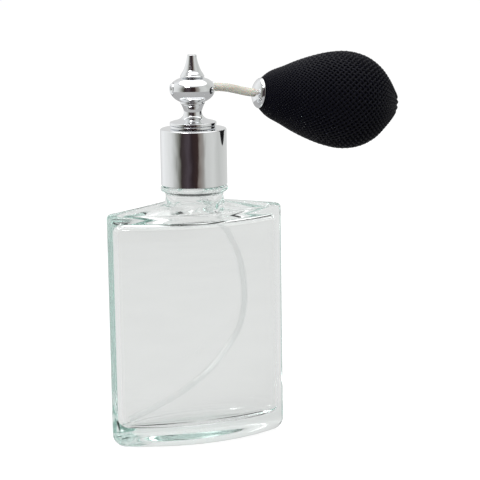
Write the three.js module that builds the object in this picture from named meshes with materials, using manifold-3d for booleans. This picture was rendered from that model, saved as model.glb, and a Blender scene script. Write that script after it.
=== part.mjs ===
// Perfume atomiser: a flat glass bottle with a screwed chrome collar, a turned
// spray head and a rubber squeeze bulb in a knitted net.
// Millimetres, +Z up. The origin is on the bottle's axis at its base plane,
// +X points towards the bulb and Y runs through the bottle's depth.

import * as THREE from 'three';
import { mergeVertices } from 'three/addons/utils/BufferGeometryUtils.js';
import Module from 'manifold-3d';

const wasm = await Module();
wasm.setup();

// ---------------------------------------------------------------- dimensions

// Bottle body, a lens in plan: two wide arcs joined by two small end arcs.
const HALF_WIDTH = 33.0;
const HALF_DEPTH = 12.65;
const END_RADIUS = 4.8;
const SHOULDER_Z = 85.7;
const HEEL_RADIUS = 4.6;
const SHOULDER_EDGE = 1.3;
const SIDE_WALL = 2.7;
const END_WALL = 3.2;
const FLOOR_Z = 7.2;
const FLOOR_CORNER = 2.8;
const CEILING_Z = 82.4;

// Neck, with its glass bead, and the 20 mm screw finish above it.
const NECK_ROOT_RADIUS = 11.2;
const NECK_ROOT_Z = 88.1;
const NECK_RADIUS = 10.5;
const NECK_BORE_RADIUS = 6.6;
const BEAD_RADIUS = 12.2;
const BEAD_LOW_Z = 92.4;
const BEAD_TOP_Z = 94.6;
const FINISH_RADIUS = 8.95;
const LIP_Z = 112.0;
const LIP_ROUND = 0.6;

// Screw thread, 8 turns to the inch, right hand.
const THREAD_PITCH = 3.175;
const THREAD_CREST_RADIUS = 9.95;
const THREAD_START_Z = 102.5;
const THREAD_TURNS = 2.1;
const THREAD_ROOT_HALF = 0.9;
const THREAD_CREST_HALF = 0.4;

// Collar: a chrome shell over a threaded plastic nut.
const COLLAR_RADIUS = 12.0;
const COLLAR_LOW_Z = 94.95;
const COLLAR_TOP_Z = 115.2;
const SHELL_WALL = 0.5;
const SHELL_EDGE = 0.6;
const CAP_HOLE_RADIUS = 5.3;
const NUT_BORE_RADIUS = 10.35;
const NUT_CREST_RADIUS = 9.3;
const NUT_RECESS = 0.7;
const WEB = 0.7;

// Stem, the moulded core that the nut clamps on the lip.
const GASKET_THICK = 0.9;
const FLANGE_RADIUS = 9.6;
const FLANGE_THICK = 1.0;
const STEM_BOSS_RADIUS = 4.9;
const JOURNAL_RADIUS = 2.6;
const JOURNAL_TOP_Z = 117.85;
const SOCKET_RADIUS = 2.4;
const SOCKET_LOW_Z = 105.5;
const RISER_BORE_RADIUS = 1.25;
const SEAL_SECTION = 0.27;
const GROOVE_DEPTH = 0.6;
const GROOVE_HALF = 0.4;

// Spray head.
const HEAD_FOOT_Z = 116.5;
const HEAD_FOOT_RADIUS = 8.45;
const SEAT_RING_RADIUS = 8.4;
const EDGE_CHAMFER = 0.35;
const ONION_RADIUS = 8.15;
const ONION_Z = 129.4;
const ONION_TOP_Z = 133.4;
const CROSS_BORE_RADIUS = 2.2;
const CROSS_BORE_Z = ONION_Z + 0.2;
const TIP_Z = 141.6;
const TIP_RADIUS = 1.72;
const FINIAL_BASE_Z = 133.55;
const FINIAL_BASE_RADIUS = 4.4;
const STUD_RADIUS = 1.5;

// Air tube and bulb. The bulb hangs on an axis tilted down from the head.
const AIR_TUBE_RADIUS = 1.53;
const AIR_TUBE_BORE = 0.95;
const SPIGOT_RADIUS = 0.7;
const BULB_MOUTH = new THREE.Vector3(25.5, 0, 126.5);
const BULB_TILT_DEG = 7.3;
const BULB_LENGTH = 54.2;
const CUP_DEPTH = 2.2;
const CUP_RADIUS = 5.6;
const PLUG_RADIUS = 3.0;
const NET_THICK = 0.7;
const RUBBER_WALL = 1.6;
const PAD_CENTRE = 33.0;
const PAD_RADIUS = 11.0;

// Dip tube.
const DIP_RADIUS = 1.3;
const DIP_BORE = 0.75;

// Clearances: between pieces that rest on each other, between pieces cut by
// each other, and between pieces that turn on each other.
const REST_GAP = 0.05;
const CUT_GAP = 0.3;
const RUN_GAP = 0.15;

// Facets.
const RING_SIDES = 36;
const DISC_SIDES = 24;
const HEAD_SIDES = 24;
const SMALL_SIDES = 16;
const BULB_SIDES = 22;
const RING_STEP_DEG = 360 / RING_SIDES;

// ---------------------------------------------------------------- materials

const material = (color, roughness, metalness, extra = {}) =>
  new THREE.MeshStandardMaterial({ color, roughness, metalness, ...extra });
const clearGlass = material(0xdfe6e0, 0.05, 0, { transparent: true, opacity: 0.35 });
const chrome = material(0xd8dade, 0.08, 1);
const naturalPlastic = material(0xe8e6de, 0.35, 0);
const darkPlastic = material(0x2a2a2c, 0.5, 0);
const tubePlastic = material(0xc6c0b4, 0.3, 0);
const clearPlastic = material(0xe4e8e4, 0.15, 0, { transparent: true, opacity: 0.5 });
const blackRubber = material(0x0c0b12, 0.6, 0);
const blackYarn = material(0x0a0812, 0.9, 0);
const steel = material(0xb9bcc0, 0.25, 1);

// ------------------------------------------------------------------ helpers

const radians = THREE.MathUtils.degToRad;

// One closed body with merged corners, ready to become a solid.
function closed(geometry) {
  const bare = geometry.clone();
  bare.deleteAttribute('normal');
  bare.deleteAttribute('uv');
  return mergeVertices(bare, 1e-4);
}

function toSolid(geometry) {
  const merged = closed(geometry);
  return new wasm.Manifold(new wasm.Mesh({
    numProp: 3,
    vertProperties: new Float32Array(merged.attributes.position.array),
    triVerts: new Uint32Array(merged.index.array),
  }));
}

function toGeometry(manifold) {
  const mesh = manifold.getMesh();
  const geometry = new THREE.BufferGeometry();
  geometry.setAttribute('position', new THREE.BufferAttribute(mesh.vertProperties, 3));
  geometry.setIndex(new THREE.BufferAttribute(mesh.triVerts, 1));
  return geometry;
}

// Turns an outline of [radius, height] points about Z.
function turnedZ(outline, sides = SMALL_SIDES) {
  const points = outline.map(([radius, height]) => new THREE.Vector2(radius, height));
  return new THREE.LatheGeometry(points, sides).rotateX(Math.PI / 2);
}

// Turns an outline of [radius, distance] points about X, away from the head.
function turnedX(outline, sides = SMALL_SIDES) {
  return turnedZ(outline, sides).rotateY(Math.PI / 2);
}

// A ring's outline: anticlockwise from its inner lower corner, closed on itself.
function ringOutline(inner, outer, low, high) {
  return [[inner, low], [outer, low], [outer, high], [inner, high], [inner, low]];
}

function rodOutline(radius, low, high) {
  return [[0, low], [radius, low], [radius, high], [0, high]];
}

// Points on an arc from one angle to another, both in degrees.
function arc(centreX, centreY, radius, from, to, steps) {
  return Array.from({ length: steps + 1 }, (_, i) => {
    const angle = radians(from + ((to - from) * i) / steps);
    return [centreX + radius * Math.cos(angle), centreY + radius * Math.sin(angle)];
  });
}

// Points along a smooth curve through a few given ones.
function smooth(points, steps) {
  const curve = new THREE.SplineCurve(points.map(([x, y]) => new THREE.Vector2(x, y)));
  return curve.getPoints(steps).map((point) => [point.x, point.y]);
}

// Skins a stack of equal rings into one closed body, with a pole at each end.
function skin(startPole, rings, endPole) {
  const sides = rings[0].length;
  const corners = [startPole, ...rings.flat(), endPole];
  const last = corners.length - 1;
  const faces = [];
  const at = (ring, side) => 1 + ring * sides + (side % sides);
  for (let side = 0; side < sides; side += 1) {
    faces.push(0, at(0, side + 1), at(0, side));
    faces.push(last, at(rings.length - 1, side), at(rings.length - 1, side + 1));
    for (let ring = 0; ring < rings.length - 1; ring += 1) {
      faces.push(at(ring, side), at(ring, side + 1), at(ring + 1, side + 1));
      faces.push(at(ring, side), at(ring + 1, side + 1), at(ring + 1, side));
    }
  }
  const geometry = new THREE.BufferGeometry();
  geometry.setAttribute('position', new THREE.Float32BufferAttribute(corners.flat(), 3));
  geometry.setIndex(faces);
  return geometry;
}

// A helical ridge of trapezoid section. Its root is at rootRadius. Its corners
// fall between those of the wall that it joins, so the cut has no slivers.
function threadRidge(rootRadius, crestRadius, startZ, turns) {
  const steps = Math.round(turns * RING_SIDES);
  const section = [
    [rootRadius, -THREAD_ROOT_HALF],
    [crestRadius, -THREAD_CREST_HALF],
    [crestRadius, THREAD_CREST_HALF],
    [rootRadius, THREAD_ROOT_HALF],
  ];
  if (crestRadius > rootRadius) section.reverse();
  const rings = Array.from({ length: steps + 1 }, (_, step) => {
    const angle = radians((step + 0.5) * RING_STEP_DEG);
    const rise = startZ + (THREAD_PITCH * step) / RING_SIDES;
    return section.map(([radius, dz]) => [
      radius * Math.cos(angle), radius * Math.sin(angle), rise + dz]);
  });
  const middle = (ring) => [0, 1, 2].map(
    (k) => ring.reduce((sum, corner) => sum + corner[k], 0) / ring.length);
  return skin(middle(rings[0]), rings, middle(rings[steps]));
}

// A tube swept along a curve.
function sweptTube(curve, outer, bore, steps, sides) {
  const section = new THREE.Shape();
  section.absarc(0, 0, outer, 0, 2 * Math.PI);
  const hole = new THREE.Path();
  hole.absarc(0, 0, bore, 0, 2 * Math.PI, true);
  section.holes.push(hole);
  return new THREE.ExtrudeGeometry(section, {
    extrudePath: curve, steps, curveSegments: sides });
}

function part(name, geometry, surface) {
  const mesh = new THREE.Mesh(geometry, surface);
  mesh.name = name;
  return mesh;
}

// ------------------------------------------------------------------- bottle

const WIDE_ARC_STEPS = 11;
const END_ARC_STEPS = 7;

// The lens outline as one ring of points at height z, anticlockwise.
function lensRing(halfWidth, halfDepth, endRadius, z) {
  const reach = halfWidth - endRadius;
  const wideRadius = (reach ** 2 + halfDepth ** 2 - endRadius ** 2)
    / (2 * (halfDepth - endRadius));
  const face = THREE.MathUtils.radToDeg(Math.atan2(reach, wideRadius - halfDepth));
  const drop = halfDepth - wideRadius;
  const open = (points) => points.slice(0, -1);
  return [
    ...open(arc(reach, 0, endRadius, face - 90, 90 - face, END_ARC_STEPS)),
    ...open(arc(0, drop, wideRadius, 90 - face, 90 + face, WIDE_ARC_STEPS)),
    ...open(arc(-reach, 0, endRadius, 90 + face, 270 - face, END_ARC_STEPS)),
    ...open(arc(0, -drop, wideRadius, 270 - face, 270 + face, WIDE_ARC_STEPS)),
  ].map(([x, y]) => [x, y, z]);
}

// The outer outline, moved in by an inset.
function bodyRing(inset, z) {
  const endRadius = END_RADIUS - 0.8 * inset;
  return lensRing(HALF_WIDTH - inset, HALF_DEPTH - inset, endRadius, z);
}

// The cavity's outline, moved in by an inset from the walls.
function cavityRing(inset, z) {
  const endRadius = END_RADIUS - SIDE_WALL + 1.2 - 0.5 * inset;
  return lensRing(HALF_WIDTH - END_WALL - inset, HALF_DEPTH - SIDE_WALL - inset, endRadius, z);
}

function roundRing(radius, z) {
  const start = -RING_STEP_DEG * (END_ARC_STEPS / 2);
  return arc(0, 0, radius, start, start + 360, RING_SIDES).slice(0, -1)
    .map(([x, y]) => [x, y, z]);
}

function blendRing(from, to, share, z) {
  return from.map(([x, y], i) => [
    x + (to[i][0] - x) * share, y + (to[i][1] - y) * share, z]);
}

function bottleGeometry() {
  const rings = [];
  const heel = arc(HEEL_RADIUS, HEEL_RADIUS, HEEL_RADIUS, 270, 180, 5);
  heel.forEach(([inset, z]) => rings.push(bodyRing(inset, z)));
  const edge = arc(SHOULDER_EDGE, SHOULDER_Z - SHOULDER_EDGE, SHOULDER_EDGE, 180, 90, 3);
  edge.forEach(([inset, z]) => rings.push(bodyRing(inset, z)));
  const rim = bodyRing(SHOULDER_EDGE, 0);
  const root = roundRing(NECK_ROOT_RADIUS, 0);
  [0.3, 0.6, 0.85, 1].forEach((share) => {
    const z = SHOULDER_Z + (NECK_ROOT_Z - SHOULDER_Z) * share;
    rings.push(blendRing(rim, root, share, z));
  });
  const neck = [
    [NECK_RADIUS + 0.2, NECK_ROOT_Z + 0.8],
    [NECK_RADIUS, NECK_ROOT_Z + 1.8],
    [NECK_RADIUS, BEAD_LOW_Z - 0.6],
    [NECK_RADIUS + 0.6, BEAD_LOW_Z],
    ...arc(BEAD_RADIUS - 1, (BEAD_LOW_Z + BEAD_TOP_Z) / 2, 1, -60, 60, 2),
    [FINISH_RADIUS + 0.6, BEAD_TOP_Z],
    [FINISH_RADIUS, BEAD_TOP_Z + 0.6],
    ...arc(FINISH_RADIUS - LIP_ROUND, LIP_Z - LIP_ROUND, LIP_ROUND, 0, 90, 2),
    ...arc(NECK_BORE_RADIUS + LIP_ROUND, LIP_Z - LIP_ROUND, LIP_ROUND, 90, 180, 2),
    [NECK_BORE_RADIUS, BEAD_LOW_Z + 1],
    [NECK_BORE_RADIUS + 0.6, NECK_ROOT_Z],
  ];
  neck.forEach(([radius, z]) => rings.push(roundRing(radius, z)));
  const throat = roundRing(NECK_BORE_RADIUS + 1.6, 0);
  const ceiling = cavityRing(1.6, 0);
  [0, 0.35, 0.75, 1].forEach((share) => {
    const z = NECK_ROOT_Z - 2.6 - (NECK_ROOT_Z - 2.6 - CEILING_Z) * share;
    rings.push(blendRing(throat, ceiling, share, z));
  });
  rings.push(cavityRing(0, CEILING_Z - 1.8));
  const corner = arc(FLOOR_CORNER, FLOOR_Z + FLOOR_CORNER, FLOOR_CORNER, 180, 270, 4);
  corner.forEach(([inset, z]) => rings.push(cavityRing(inset, z)));
  const body = toSolid(skin([0, 0, 0], rings, [0, 0, FLOOR_Z]));
  const ridge = toSolid(threadRidge(
    FINISH_RADIUS - 0.5, THREAD_CREST_RADIUS, THREAD_START_Z, THREAD_TURNS));
  return toGeometry(body.add(ridge));
}

// ------------------------------------------------------------------ closure

const FLANGE_LOW_Z = LIP_Z + GASKET_THICK + 2 * REST_GAP;
const FLANGE_TOP_Z = FLANGE_LOW_Z + FLANGE_THICK;
const NUT_TOP_Z = FLANGE_TOP_Z + REST_GAP + WEB;
const SHELL_INNER = COLLAR_RADIUS - SHELL_WALL;
const SEAL_Z = HEAD_FOOT_Z + 0.55;

function gasketGeometry() {
  return turnedZ(
    ringOutline(NECK_BORE_RADIUS, FLANGE_RADIUS, LIP_Z + REST_GAP, LIP_Z + REST_GAP + GASKET_THICK),
    DISC_SIDES);
}

// Flange, boss and journal above, dip-tube socket below, and a bore through.
function stemGeometry() {
  const socketBore = DIP_RADIUS + RUN_GAP;
  const socketTop = FLANGE_LOW_Z - 1;
  return turnedZ([
    [socketBore, SOCKET_LOW_Z],
    [SOCKET_RADIUS, SOCKET_LOW_Z],
    [SOCKET_RADIUS, FLANGE_LOW_Z],
    [FLANGE_RADIUS, FLANGE_LOW_Z],
    [FLANGE_RADIUS, FLANGE_TOP_Z],
    [STEM_BOSS_RADIUS, FLANGE_TOP_Z],
    [STEM_BOSS_RADIUS, COLLAR_TOP_Z + RUN_GAP],
    [JOURNAL_RADIUS, COLLAR_TOP_Z + RUN_GAP],
    [JOURNAL_RADIUS, SEAL_Z - GROOVE_HALF],
    [JOURNAL_RADIUS - GROOVE_DEPTH, SEAL_Z - GROOVE_HALF],
    [JOURNAL_RADIUS - GROOVE_DEPTH, SEAL_Z + GROOVE_HALF],
    [JOURNAL_RADIUS, SEAL_Z + GROOVE_HALF],
    [JOURNAL_RADIUS, JOURNAL_TOP_Z],
    [RISER_BORE_RADIUS, JOURNAL_TOP_Z],
    [RISER_BORE_RADIUS, socketTop],
    [socketBore, socketTop],
    [socketBore, SOCKET_LOW_Z],
  ], DISC_SIDES);
}

function seatRingGeometry() {
  const low = COLLAR_TOP_Z + RUN_GAP + REST_GAP;
  const high = HEAD_FOOT_Z - RUN_GAP;
  return turnedZ([
    [JOURNAL_RADIUS + RUN_GAP, low],
    [SEAT_RING_RADIUS, low],
    [SEAT_RING_RADIUS, high - EDGE_CHAMFER],
    [SEAT_RING_RADIUS - EDGE_CHAMFER, high],
    [JOURNAL_RADIUS + RUN_GAP, high],
    [JOURNAL_RADIUS + RUN_GAP, low],
  ], DISC_SIDES);
}

// O-ring in the journal's groove, turning inside the head's socket.
function swivelSealGeometry() {
  const section = arc(JOURNAL_RADIUS - 0.2, SEAL_Z, SEAL_SECTION, 0, 360, 8);
  section[section.length - 1] = section[0];
  return turnedZ(section);
}

function dipTubeGeometry() {
  const route = [
    [0, 111.6], [0, 101], [1.5, 93.5], [5.6, 86.5], [10.4, 79.5], [14.8, 71], [17.4, 61],
    [17.9, 50], [15.9, 41], [11.3, 33.5], [4.5, 26], [-5, 19], [-16, 13.6], [-26.4, 9.6],
  ].map(([x, z]) => new THREE.Vector3(x, 0, z));
  return sweptTube(new THREE.CatmullRomCurve3(route), DIP_RADIUS, DIP_BORE, 36, 4);
}

// ------------------------------------------------------------------- collar

function collarShellGeometry() {
  const roundedTop = arc(
    COLLAR_RADIUS - SHELL_EDGE, COLLAR_TOP_Z - SHELL_EDGE, SHELL_EDGE, 0, 90, 3);
  const webLow = NUT_TOP_Z + REST_GAP;
  return turnedZ([
    [SHELL_INNER, COLLAR_LOW_Z],
    [COLLAR_RADIUS, COLLAR_LOW_Z],
    ...roundedTop,
    [CAP_HOLE_RADIUS, COLLAR_TOP_Z],
    [CAP_HOLE_RADIUS, webLow],
    [SHELL_INNER, webLow],
    [SHELL_INNER, COLLAR_LOW_Z],
  ], RING_SIDES);
}

// The threaded nut: its ridge runs half a pitch above the glass thread.
function collarNutGeometry() {
  const outer = SHELL_INNER - REST_GAP;
  const body = toSolid(turnedZ([
    [NUT_BORE_RADIUS, COLLAR_LOW_Z + NUT_RECESS],
    [outer, COLLAR_LOW_Z + NUT_RECESS],
    [outer, NUT_TOP_Z],
    [CAP_HOLE_RADIUS, NUT_TOP_Z],
    [CAP_HOLE_RADIUS, FLANGE_TOP_Z + REST_GAP],
    [NUT_BORE_RADIUS, FLANGE_TOP_Z + REST_GAP],
    [NUT_BORE_RADIUS, COLLAR_LOW_Z + NUT_RECESS],
  ], RING_SIDES));
  const ridge = toSolid(threadRidge(
    NUT_BORE_RADIUS + 0.5, NUT_CREST_RADIUS, THREAD_START_Z + THREAD_PITCH / 2, THREAD_TURNS));
  return toGeometry(body.add(ridge));
}

// --------------------------------------------------------------------- head

const RISER_RADIUS = 0.85;
const HEAD_SOCKET_RADIUS = JOURNAL_RADIUS + RUN_GAP;
const NOZZLE_DEPTH = 3.4;
const NOZZLE_FACE_X = -8.15;
const JET_RADIUS = 1.0;
const SPIGOT_IN_X = 4.2;
const SPIGOT_FACE_X = 7.95;
const SPIGOT_OUT_X = 11.2;

function headBodyGeometry() {
  const outline = [
    [0, HEAD_FOOT_Z],
    [HEAD_FOOT_RADIUS, HEAD_FOOT_Z],
    [HEAD_FOOT_RADIUS, HEAD_FOOT_Z + 0.8],
    [HEAD_FOOT_RADIUS - 0.3, HEAD_FOOT_Z + 1.05],
    ...smooth([[7.3, 117.85], [5.6, 118.35], [4.1, 119.1], [3.35, 120.5], [3.45, 122.1],
      [4.1, 123.8]], 10),
    [4.35, 124],
    [4.35, 124.6],
    [4.6, 124.9],
    ...smooth([[5.5, 125.3], [7.5, 127.05], [ONION_RADIUS, ONION_Z], [7.5, 131.35],
      [5.7, 132.75], [4.3, ONION_TOP_Z]], 14),
    [0, ONION_TOP_Z],
  ];
  const riserBore = RISER_RADIUS + CUT_GAP;
  const bores = [
    turnedZ(rodOutline(HEAD_SOCKET_RADIUS, HEAD_FOOT_Z - 1, JOURNAL_TOP_Z + RUN_GAP)),
    turnedZ(rodOutline(riserBore, HEAD_FOOT_Z, CROSS_BORE_Z)),
    turnedZ(rodOutline(STUD_RADIUS + RUN_GAP, CROSS_BORE_Z + 1.4, ONION_TOP_Z + 1)),
    turnedX(rodOutline(CROSS_BORE_RADIUS, -12, 12)).translate(0, 0, CROSS_BORE_Z),
  ];
  const body = bores.reduce(
    (solid, bore) => solid.subtract(toSolid(bore)), toSolid(turnedZ(outline, HEAD_SIDES)));
  return toGeometry(body);
}

function finialGeometry() {
  return turnedZ([
    [0, CROSS_BORE_Z + CROSS_BORE_RADIUS],
    [STUD_RADIUS, CROSS_BORE_Z + CROSS_BORE_RADIUS],
    [STUD_RADIUS, FINIAL_BASE_Z],
    [FINIAL_BASE_RADIUS - 0.2, FINIAL_BASE_Z],
    [FINIAL_BASE_RADIUS, FINIAL_BASE_Z + 0.3],
    [FINIAL_BASE_RADIUS, FINIAL_BASE_Z + 0.6],
    ...smooth([[4, 134.6], [3.25, 135.9], [2.65, 137.2], [2.12, 138.9], [TIP_RADIUS, 141.2]], 9),
    [TIP_RADIUS - 0.35, TIP_Z],
    [0, TIP_Z],
  ]);
}

// Flush insert with a shallow cone and a fine orifice, facing away from the bulb.
function nozzleGeometry() {
  const radius = CROSS_BORE_RADIUS - RUN_GAP;
  const orifice = 0.4;
  return turnedX([
    [orifice, NOZZLE_FACE_X + 0.7],
    [1.1, NOZZLE_FACE_X],
    [radius - 0.3, NOZZLE_FACE_X],
    [radius, NOZZLE_FACE_X + 0.3],
    [radius, NOZZLE_FACE_X + NOZZLE_DEPTH],
    [orifice, NOZZLE_FACE_X + NOZZLE_DEPTH],
    [orifice, NOZZLE_FACE_X + 0.7],
  ]).translate(0, 0, CROSS_BORE_Z);
}

function jetTubeGeometry() {
  const from = NOZZLE_FACE_X + NOZZLE_DEPTH + REST_GAP;
  return turnedX(ringOutline(0.45, JET_RADIUS, from, SPIGOT_IN_X - REST_GAP))
    .translate(0, 0, CROSS_BORE_Z);
}

function liquidRiserGeometry() {
  const top = CROSS_BORE_Z - JET_RADIUS - RUN_GAP;
  return turnedZ(ringOutline(0.4, RISER_RADIUS, FLANGE_TOP_Z, top));
}

// Plug in the cross bore with a shoulder and a barb for the air tube.
function airSpigotGeometry() {
  const radius = CROSS_BORE_RADIUS - RUN_GAP;
  const bore = 0.4;
  return turnedX([
    [bore, SPIGOT_IN_X],
    [radius, SPIGOT_IN_X],
    [radius, SPIGOT_FACE_X - EDGE_CHAMFER],
    [radius - EDGE_CHAMFER, SPIGOT_FACE_X],
    [SPIGOT_RADIUS, SPIGOT_FACE_X],
    [SPIGOT_RADIUS, SPIGOT_OUT_X],
    [bore, SPIGOT_OUT_X],
    [bore, SPIGOT_IN_X],
  ]).translate(0, 0, CROSS_BORE_Z);
}

// The tube leaves the head level and meets the cup along the bulb's axis.
function airTubeGeometry() {
  const tilt = radians(BULB_TILT_DEG);
  const along = new THREE.Vector3(Math.cos(tilt), 0, -Math.sin(tilt));
  const start = new THREE.Vector3(SPIGOT_FACE_X + REST_GAP, 0, CROSS_BORE_Z);
  const end = BULB_MOUTH.clone().addScaledVector(along, -CUP_DEPTH - REST_GAP);
  const route = new THREE.CubicBezierCurve3(
    start,
    start.clone().add(new THREE.Vector3(6, 0, 0)),
    end.clone().addScaledVector(along, -5),
    end);
  return sweptTube(route, AIR_TUBE_RADIUS, AIR_TUBE_BORE, 10, 5);
}

// --------------------------------------------------------------------- bulb
// These pieces are drawn along their own axis: X from the cup's rim outwards.

// The knitted cover's outer outline, as [radius, distance], inset all round.
function bulbOutline(inset, from, steps) {
  const shape = [
    [5.5, from], [8.4, 4.2], [13.1, 14.6], [16.4, 24], [17.85, 33.3], [16.85, 39.5],
    [14.2, 44.7], [10.5, 48.9], [6.9, 52], [4.6, BULB_LENGTH - 0.3],
  ];
  return smooth(shape, steps).map(([radius, x]) => {
    const lengthwise = x / BULB_LENGTH;
    return [radius - inset, x - inset * lengthwise ** 4];
  });
}

const RUBBER_INSET = NET_THICK + 0.25;
const RUBBER_MOUTH_X = 0.8;
const NECK_LENGTH = 6;
const VALVE_RADIUS = 2.3;
const VALVE_IN = 47.8;
const VALVE_OUT = 52.8;
const VALVE_SEAT_THICK = 0.8;
const BALL_RADIUS = 1.2;
const BALL_CENTRE = 49.8;
const CUP_FLOOR = -0.8;
const CHAMBER_RADIUS = 1.5;
const VALVE_HOLE_RADIUS = 0.8;

function cupGeometry() {
  const back = -CUP_DEPTH;
  return turnedX([
    [SPIGOT_RADIUS + CUT_GAP, back],
    [1.75, back],
    ...smooth([[2.2, back + 0.1], [3.6, -1.65], [4.9, -0.85], [CUP_RADIUS, 0]], 5),
    [CUP_RADIUS, 0.3],
    [CUP_RADIUS - 0.5, 0.3],
    [PLUG_RADIUS + CUT_GAP, -0.4],
    [PLUG_RADIUS + CUT_GAP, CUP_FLOOR],
    [SPIGOT_RADIUS + CUT_GAP, CUP_FLOOR],
    [SPIGOT_RADIUS + CUT_GAP, back],
  ]);
}

function cupSpigotGeometry() {
  return turnedX(ringOutline(0.4, SPIGOT_RADIUS, -CUP_DEPTH - 3.2, CUP_FLOOR));
}

// Plug between the cup and the rubber mouth, with a ridge that the rubber grips.
function bulbPlugGeometry() {
  const front = CUP_FLOOR + CUT_GAP;
  return turnedX([
    [1, front],
    [PLUG_RADIUS, front],
    [PLUG_RADIUS, 3.2],
    [PLUG_RADIUS + 0.5, 3.6],
    [PLUG_RADIUS, 5.2],
    [1, 5.2],
    [1, front],
  ]);
}

// The rubber wall as one turned solid, open at the mouth and at the valve.
function rubberWallSolid() {
  const outer = bulbOutline(RUBBER_INSET, RUBBER_MOUTH_X, 14);
  const inner = bulbOutline(RUBBER_INSET + RUBBER_WALL, RUBBER_MOUTH_X, 14)
    .filter(([, x]) => x > NECK_LENGTH && x < VALVE_IN + 1.8).reverse();
  const mouth = PLUG_RADIUS + 0.5 + CUT_GAP;
  const valveBore = VALVE_RADIUS + CUT_GAP;
  return toSolid(turnedX([
    [mouth, RUBBER_MOUTH_X],
    ...outer,
    [valveBore, VALVE_OUT - 0.9],
    [valveBore, VALVE_IN + 1.2],
    ...inner,
    [mouth, NECK_LENGTH],
    [mouth, RUBBER_MOUTH_X],
  ], BULB_SIDES));
}

// A drum that marks off the part of the wall that gives under a thumb.
function padDrum(radius, low, high) {
  const drum = turnedZ(rodOutline(radius, low, high));
  return toSolid(drum.translate(PAD_CENTRE, 0, 0));
}

function rubberBulbGeometry(wall) {
  return toGeometry(wall.subtract(padDrum(PAD_RADIUS + CUT_GAP, -20, 20)));
}

function thumbWallGeometry(wall) {
  return toGeometry(wall.intersect(padDrum(PAD_RADIUS, 0, 20)));
}

function fingerWallGeometry(wall) {
  return toGeometry(wall.intersect(padDrum(PAD_RADIUS, -20, 0)));
}

function netGeometry() {
  const outer = bulbOutline(0, 0.5, 15);
  const inner = bulbOutline(NET_THICK, 0.5, 15).reverse();
  return turnedX([
    ...outer,
    [3.4, VALVE_OUT + 0.4],
    [3.1, VALVE_OUT - 0.3],
    ...inner,
    outer[0],
  ], BULB_SIDES);
}

// Drawn thread that closes the net round the valve.
function netTieGeometry() {
  const section = arc(2.75, VALVE_OUT + 0.25, 0.3, 0, 360, 8);
  section[section.length - 1] = section[0];
  return turnedX(section);
}

function valveBodyGeometry() {
  return turnedX([
    [VALVE_HOLE_RADIUS, VALVE_IN],
    [VALVE_RADIUS, VALVE_IN],
    [VALVE_RADIUS, VALVE_OUT - VALVE_SEAT_THICK],
    [CHAMBER_RADIUS, VALVE_OUT - VALVE_SEAT_THICK],
    [CHAMBER_RADIUS, VALVE_IN + 0.6],
    [VALVE_HOLE_RADIUS, VALVE_IN + 0.6],
    [VALVE_HOLE_RADIUS, VALVE_IN],
  ]);
}

function valveSeatGeometry() {
  return turnedX(ringOutline(
    VALVE_HOLE_RADIUS, VALVE_RADIUS, VALVE_OUT - VALVE_SEAT_THICK + REST_GAP, VALVE_OUT));
}

function valveBallGeometry() {
  return new THREE.SphereGeometry(BALL_RADIUS, 16, 10).translate(BALL_CENTRE, 0, 0);
}

// ----------------------------------------------------------------- assembly

const closure = new THREE.Group();
closure.add(
  part('neck_gasket', gasketGeometry(), darkPlastic),
  part('stem', stemGeometry(), naturalPlastic),
  part('seat_ring', seatRingGeometry(), chrome),
  part('swivel_seal', swivelSealGeometry(), blackRubber),
  part('dip_tube', dipTubeGeometry(), clearPlastic),
);

const collar = new THREE.Group();
collar.add(
  part('collar_shell', collarShellGeometry(), chrome),
  part('collar_nut', collarNutGeometry(), darkPlastic),
);

const head = new THREE.Group();
head.add(
  part('head_body', headBodyGeometry(), chrome),
  part('finial', finialGeometry(), chrome),
  part('nozzle_insert', nozzleGeometry(), chrome),
  part('jet_tube', jetTubeGeometry(), steel),
  part('liquid_riser', liquidRiserGeometry(), naturalPlastic),
  part('air_spigot', airSpigotGeometry(), chrome),
  part('air_tube', airTubeGeometry(), tubePlastic),
);

const rubberWall = rubberWallSolid();
const bulb = new THREE.Group();
bulb.position.copy(BULB_MOUTH);
bulb.rotation.y = radians(BULB_TILT_DEG);
bulb.add(
  part('bulb_cup', cupGeometry(), chrome),
  part('cup_spigot', cupSpigotGeometry(), chrome),
  part('bulb_plug', bulbPlugGeometry(), darkPlastic),
  part('rubber_bulb', rubberBulbGeometry(rubberWall), blackRubber),
  part('bulb_thumb_wall', thumbWallGeometry(rubberWall), blackRubber),
  part('bulb_finger_wall', fingerWallGeometry(rubberWall), blackRubber),
  part('net_cover', netGeometry(), blackYarn),
  part('net_tie', netTieGeometry(), blackYarn),
  part('valve_body', valveBodyGeometry(), darkPlastic),
  part('valve_seat', valveSeatGeometry(), darkPlastic),
  part('valve_ball', valveBallGeometry(), steel),
);

const atomiser = new THREE.Group();
atomiser.add(part('bottle', bottleGeometry(), clearGlass), closure, collar, head, bulb);

export default atomiser;
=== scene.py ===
"""Perfume atomiser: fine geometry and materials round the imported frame.

Sizes are millimetres until a mesh is made, and then metres, in the frame's own axes.
"""

import math

import bpy
import numpy as np
from mathutils import Matrix, Vector


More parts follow.
